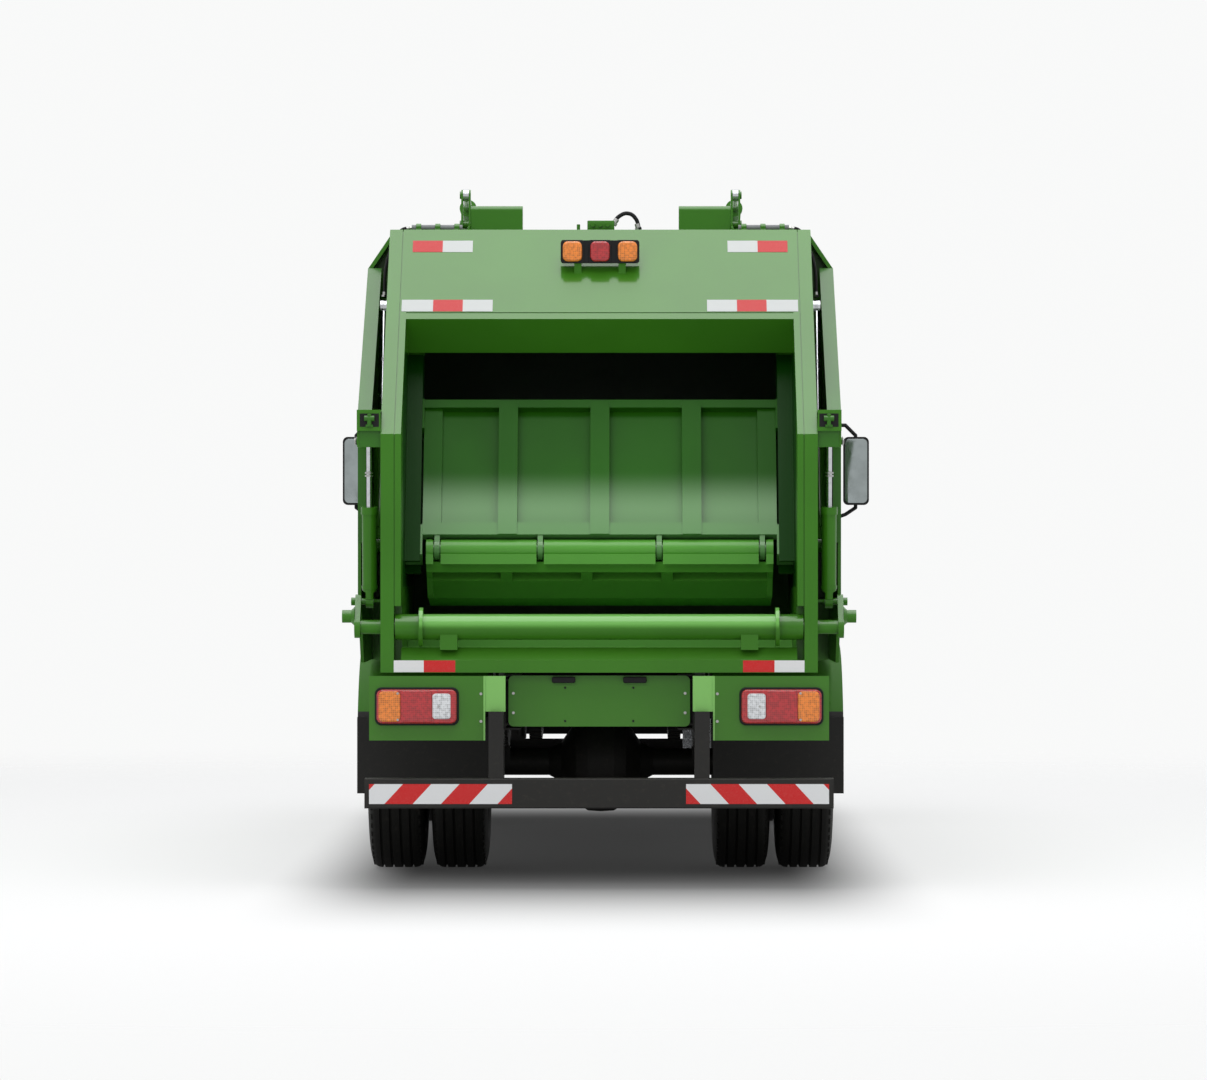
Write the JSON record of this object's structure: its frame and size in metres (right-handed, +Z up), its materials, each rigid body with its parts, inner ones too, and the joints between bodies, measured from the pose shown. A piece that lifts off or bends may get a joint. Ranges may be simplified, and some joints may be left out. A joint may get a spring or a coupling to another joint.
{
  "type": "rear-loading garbage truck",
  "caption": "Two-axle cab-over refuse truck with hollow load body, lifting tailgate, rear hopper with sliding packer and sweeping blade, and a turning tipper tube.",
  "frame": {"origin": "centre of the truck's box, on the ground", "axes": "+Y forward, +X to the truck's right, +Z up"},
  "size_m": [3.09, 7.7, 3.248],
  "materials": {
    "green_paint": "gloss paint",
    "chassis_black": "satin black paint",
    "guard_paint": "grey paint",
    "cast_metal": "rough casting",
    "tank_metal": "brushed",
    "rim_paint": "silver paint",
    "rod_chrome": "polished",
    "tyre_rubber": "matt",
    "black_plastic": "grained",
    "lamp_lens": "clear moulded",
    "window_glass": "polished",
    "seat_fabric": "woven"
  },
  "bodies": {
    "root": {"chassis_frame": "chassis_black", "front_axle": "chassis_black", "rear_axle": "chassis_black", "leaf_springs": "chassis_black", "engine_and_driveline": "cast_metal", "fuel_tank": "tank_metal", "battery_box_and_air_tanks": "chassis_black", "side_guards": "guard_paint", "rear_bumper": "chassis_black", "lamp_panels": "green_paint", "lamps": "lamp_lens", "mudguards": "black_plastic", "body_shell": "green_paint", "front_bumper": "black_plastic", "step_boxes": "black_plastic", "tow_jaw": "chassis_black"},
    "knuckle_left": {"knuckle_left": "cast_metal"},
    "knuckle_right": {"knuckle_right": "cast_metal"},
    "tie_rod": {"tie_rod": "chassis_black"},
    "wheel_front_left": {"tyre_front_left": "tyre_rubber", "rim_front_left": "rim_paint"},
    "wheel_front_right": {"tyre_front_right": "tyre_rubber", "rim_front_right": "rim_paint"},
    "wheel_rear_left": {"tyres_rear_left": "tyre_rubber", "rims_rear_left": "rim_paint"},
    "wheel_rear_right": {"tyres_rear_right": "tyre_rubber", "rims_rear_right": "rim_paint"},
    "cab": {"cab_shell": "green_paint", "cab_roof": "green_paint", "cab_glass": "window_glass", "grille": "black_plastic", "seats": "seat_fabric", "dashboard": "black_plastic", "mirrors": "black_plastic"},
    "door_left": {"door_left": "green_paint", "door_glass_left": "window_glass"},
    "door_right": {"door_right": "green_paint", "door_glass_right": "window_glass"},
    "ejector": {"ejector_plate": "green_paint"},
    "tailgate": {"tailgate_shell": "green_paint", "mouth_columns": "green_paint", "hopper_trough": "green_paint", "light_bar": "black_plastic", "light_bar_lamps": "lamp_lens", "slide_rods": "rod_chrome"},
    "packer": {"packer_carriage": "green_paint", "slide_barrels": "green_paint"},
    "blade": {"sweep_blade": "green_paint"},
    "lift_barrels": {"lift_barrels": "green_paint"},
    "lift_rods": {"lift_rods": "rod_chrome"},
    "tipper": {"tipper_tube": "green_paint"},
    "tipper_barrels": {"tipper_barrels": "green_paint"},
    "tipper_rods": {"tipper_rods": "rod_chrome"}
  },
  "joints": [
    {"name": "steer_left", "type": "hinge", "parent": "root", "child": "knuckle_left", "pos_m": [-0.78, 2.43, 0.509], "axis": [0, 0, 1], "range_deg": [-35, 35]},
    {"name": "steer_right", "type": "hinge", "parent": "root", "child": "knuckle_right", "pos_m": [0.78, 2.43, 0.509], "axis": [0, 0, 1], "range_deg": [-35, 35]},
    {"name": "tie_rod_turn", "type": "hinge", "parent": "knuckle_left", "child": "tie_rod", "pos_m": [-0.78, 2.24, 0.404], "axis": [0, 0, 1], "range_deg": [-35, 35]},
    {"name": "wheel_front_left_spin", "type": "hinge", "parent": "knuckle_left", "child": "wheel_front_left", "pos_m": [-0.93, 2.43, 0.509], "axis": [1, 0, 0], "continuous": true},
    {"name": "wheel_front_right_spin", "type": "hinge", "parent": "knuckle_right", "child": "wheel_front_right", "pos_m": [0.93, 2.43, 0.509], "axis": [1, 0, 0], "continuous": true},
    {"name": "wheel_rear_left_spin", "type": "hinge", "parent": "root", "child": "wheel_rear_left", "pos_m": [-0.822, -2.07, 0.509], "axis": [1, 0, 0], "continuous": true},
    {"name": "wheel_rear_right_spin", "type": "hinge", "parent": "root", "child": "wheel_rear_right", "pos_m": [0.822, -2.07, 0.509], "axis": [1, 0, 0], "continuous": true},
    {"name": "cab_tilt", "type": "hinge", "parent": "root", "child": "cab", "pos_m": [0, 3.7, 0.985], "axis": [-1, 0, 0], "range_deg": [0, 45]},
    {"name": "door_left_swing", "type": "hinge", "parent": "cab", "child": "door_left", "pos_m": [-1.148, 3.587, 1.8], "axis": [0, 0, -1], "range_deg": [0, 70]},
    {"name": "door_right_swing", "type": "hinge", "parent": "cab", "child": "door_right", "pos_m": [1.148, 3.587, 1.8], "axis": [0, 0, 1], "range_deg": [0, 70]},
    {"name": "ejector_slide", "type": "slide", "parent": "root", "child": "ejector", "axis": [0, -1, 0], "range_m": [0, 3.6]},
    {"name": "tailgate_lift", "type": "hinge", "parent": "root", "child": "tailgate", "pos_m": [0, -2.37, 3.08], "axis": [-1, 0, 0], "range_deg": [0, 85]},
    {"name": "lift_barrel_swing", "type": "hinge", "parent": "root", "child": "lift_barrels", "pos_m": [0, -1.45, 3.105], "axis": [1, 0, 0], "range_deg": [0, 8.66]},
    {"name": "lift_rod_slide", "type": "slide", "parent": "lift_barrels", "child": "lift_rods", "axis": [0, 0.9923, -0.124], "range_m": [0, 0.1505]},
    {"name": "packer_slide", "type": "slide", "parent": "tailgate", "child": "packer", "axis": [0, 0.4067, 0.9135], "range_m": [0, 0.55]},
    {"name": "blade_swing", "type": "hinge", "parent": "packer", "child": "blade", "pos_m": [0, -3.28, 1.53], "axis": [-1, 0, 0], "range_deg": [0, 100]},
    {"name": "tipper_turn", "type": "hinge", "parent": "tailgate", "child": "tipper", "pos_m": [0, -3.725, 1.18], "axis": [-1, 0, 0], "range_deg": [0, 80]},
    {"name": "tipper_barrel_swing", "type": "hinge", "parent": "tipper", "child": "tipper_barrels", "pos_m": [0, -3.63573, 1.29426], "axis": [1, 0, 0], "range_deg": [0, 82.01]},
    {"name": "tipper_rod_slide", "type": "slide", "parent": "tipper_barrels", "child": "tipper_rods", "axis": [0, -0.0882, 0.9961], "range_m": [0, 0.1893]}
  ],
  "couplings": [
    {"joint": "steer_right", "follows": "steer_left", "ratio": 1},
    {"joint": "tie_rod_turn", "follows": "steer_left", "ratio": -1},
    {"joint": "lift_barrel_swing", "follows": "tailgate_lift", "ratio": 0.094875},
    {"joint": "lift_rod_slide", "follows": "tailgate_lift", "m_per_rad": 0.098766},
    {"joint": "tipper_barrel_swing", "follows": "tipper_turn", "ratio": 1.0177},
    {"joint": "tipper_rod_slide", "follows": "tipper_turn", "m_per_rad": 0.13273}
  ]
}
